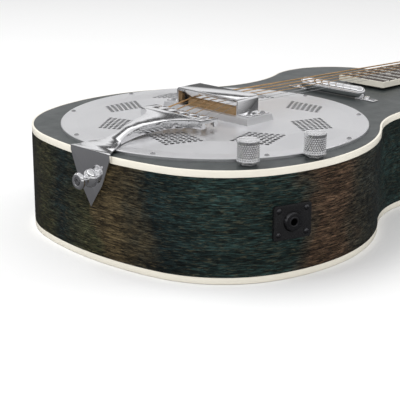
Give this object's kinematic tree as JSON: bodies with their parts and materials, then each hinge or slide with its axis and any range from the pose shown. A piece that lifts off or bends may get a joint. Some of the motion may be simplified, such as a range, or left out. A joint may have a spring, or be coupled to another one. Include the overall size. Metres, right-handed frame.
{
  "type": "resonator guitar",
  "caption": "Hollow wooden guitar with a round domed metal coverplate over a resonator cone, hand rest, pointed tailpiece, tube pickup, turning knobs and geared tuners.",
  "frame": {"origin": "on the back's outer face, directly under the centre of the cone", "axes": "+X along the neck to the headstock, +Y to the bass side, +Z out of the top"},
  "size_m": [0.9828, 0.3246, 0.127],
  "materials": {
    "top_finish": "satin slate-green lacquer",
    "side_wood": "open-grain mahogany, dark teal to brown stain",
    "binding": "cream, buffed",
    "plain_wood": "raw",
    "well_wood": "raw plywood",
    "spun_aluminium": "spun rings",
    "cast_aluminium": "cast",
    "steel": "plain",
    "maple": "bare maple",
    "cover_chrome": "satin-bright plate",
    "screw_chrome": "plated",
    "chrome": "polished",
    "bronze": "wound bronze",
    "brass": "turned",
    "coil_tape": "tape",
    "rosewood": "oiled",
    "fret_metal": "polished crown",
    "pearl": "pearl",
    "bone": "polished bone",
    "neck_finish": "satin dark stain",
    "nut_metal": "plated",
    "knob_metal": "knurled",
    "black_plastic": "moulded",
    "black_screw": "black oxide",
    "jack_metal": "dark nickel",
    "post_metal": "polished",
    "key_metal": "polished"
  },
  "bodies": {
    "guitar": {"body_top": "top_finish", "body_back": "side_wood", "body_sides": "side_wood", "top_binding": "binding", "back_binding": "binding", "top_lining": "plain_wood", "back_lining": "plain_wood", "neck_block": "plain_wood", "tail_block": "plain_wood", "back_braces": "plain_wood", "soundwell": "well_wood", "resonator_cone": "spun_aluminium", "spider_bridge": "cast_aluminium", "spider_screw": "steel", "saddle": "maple", "coverplate": "cover_chrome", "coverplate_screws": "screw_chrome", "hand_rest": "chrome", "hand_rest_screws": "screw_chrome", "tailpiece": "chrome", "strap_button": "chrome", "strap_button_screw": "screw_chrome", "wound_strings": "bronze", "plain_strings": "steel", "string_balls": "brass", "pickup_cover": "chrome", "pickup_coil": "coil_tape", "pickup_screws": "screw_chrome", "fretboard": "rosewood", "fretboard_binding": "binding", "frets": "fret_metal", "position_dots": "pearl", "nut": "bone", "neck": "neck_finish", "truss_rod": "steel", "headstock_veneer": "top_finish", "pot_cases": "steel", "control_nuts": "nut_metal", "jack_plate": "black_plastic", "jack_plate_screws": "black_screw", "output_jack": "jack_metal", "tuner_plates": "chrome", "tuner_bushings": "chrome", "tuner_screws": "screw_chrome"},
    "volume_control": {"knob_volume": "knob_metal", "shaft_volume": "steel"},
    "tone_control": {"knob_tone": "knob_metal", "shaft_tone": "steel"},
    "tuner_1_key": {"tuner_key_1": "key_metal"},
    "tuner_1_post": {"tuner_post_1": "post_metal"},
    "tuner_2_key": {"tuner_key_2": "key_metal"},
    "tuner_2_post": {"tuner_post_2": "post_metal"},
    "tuner_3_key": {"tuner_key_3": "key_metal"},
    "tuner_3_post": {"tuner_post_3": "post_metal"},
    "tuner_4_key": {"tuner_key_4": "key_metal"},
    "tuner_4_post": {"tuner_post_4": "post_metal"},
    "tuner_5_key": {"tuner_key_5": "key_metal"},
    "tuner_5_post": {"tuner_post_5": "post_metal"},
    "tuner_6_key": {"tuner_key_6": "key_metal"},
    "tuner_6_post": {"tuner_post_6": "post_metal"}
  },
  "joints": [
    {"name": "volume_turn", "type": "hinge", "parent": "guitar", "child": "volume_control", "pos_m": [-0.0915, -0.1265, 0.1], "axis": [0, 0, 1], "range_deg": [-150, 150]},
    {"name": "tone_turn", "type": "hinge", "parent": "guitar", "child": "tone_control", "pos_m": [-0.034, -0.1495, 0.1], "axis": [0, 0, 1], "range_deg": [-150, 150]},
    {"name": "key_1_turn", "type": "hinge", "parent": "guitar", "child": "tuner_1_key", "pos_m": [0.68368, 0.021, 0.06346], "axis": [0, 1, 0], "continuous": true},
    {"name": "post_1_turn", "type": "hinge", "parent": "guitar", "child": "tuner_1_post", "pos_m": [0.67957, 0.021, 0.08293], "axis": [0.2419, 0, 0.9703], "continuous": true},
    {"name": "key_2_turn", "type": "hinge", "parent": "guitar", "child": "tuner_2_key", "pos_m": [0.72249, 0.021, 0.05378], "axis": [0, 1, 0], "continuous": true},
    {"name": "post_2_turn", "type": "hinge", "parent": "guitar", "child": "tuner_2_post", "pos_m": [0.71838, 0.021, 0.07326], "axis": [0.2419, 0, 0.9703], "continuous": true},
    {"name": "key_3_turn", "type": "hinge", "parent": "guitar", "child": "tuner_3_key", "pos_m": [0.76131, 0.021, 0.04411], "axis": [0, 1, 0], "continuous": true},
    {"name": "post_3_turn", "type": "hinge", "parent": "guitar", "child": "tuner_3_post", "pos_m": [0.75719, 0.021, 0.06358], "axis": [0.2419, 0, 0.9703], "continuous": true},
    {"name": "key_4_turn", "type": "hinge", "parent": "guitar", "child": "tuner_4_key", "pos_m": [0.68368, -0.021, 0.06346], "axis": [0, 1, 0], "continuous": true},
    {"name": "post_4_turn", "type": "hinge", "parent": "guitar", "child": "tuner_4_post", "pos_m": [0.67957, -0.021, 0.08293], "axis": [0.2419, 0, 0.9703], "continuous": true},
    {"name": "key_5_turn", "type": "hinge", "parent": "guitar", "child": "tuner_5_key", "pos_m": [0.72249, -0.021, 0.05378], "axis": [0, 1, 0], "continuous": true},
    {"name": "post_5_turn", "type": "hinge", "parent": "guitar", "child": "tuner_5_post", "pos_m": [0.71838, -0.021, 0.07326], "axis": [0.2419, 0, 0.9703], "continuous": true},
    {"name": "key_6_turn", "type": "hinge", "parent": "guitar", "child": "tuner_6_key", "pos_m": [0.76131, -0.021, 0.04411], "axis": [0, 1, 0], "continuous": true},
    {"name": "post_6_turn", "type": "hinge", "parent": "guitar", "child": "tuner_6_post", "pos_m": [0.75719, -0.021, 0.06358], "axis": [0.2419, 0, 0.9703], "continuous": true}
  ],
  "couplings": [
    {"joint": "post_1_turn", "follows": "key_1_turn", "ratio": 0.071429},
    {"joint": "post_2_turn", "follows": "key_2_turn", "ratio": 0.071429},
    {"joint": "post_3_turn", "follows": "key_3_turn", "ratio": 0.071429},
    {"joint": "post_4_turn", "follows": "key_4_turn", "ratio": 0.071429},
    {"joint": "post_5_turn", "follows": "key_5_turn", "ratio": 0.071429},
    {"joint": "post_6_turn", "follows": "key_6_turn", "ratio": 0.071429}
  ]
}
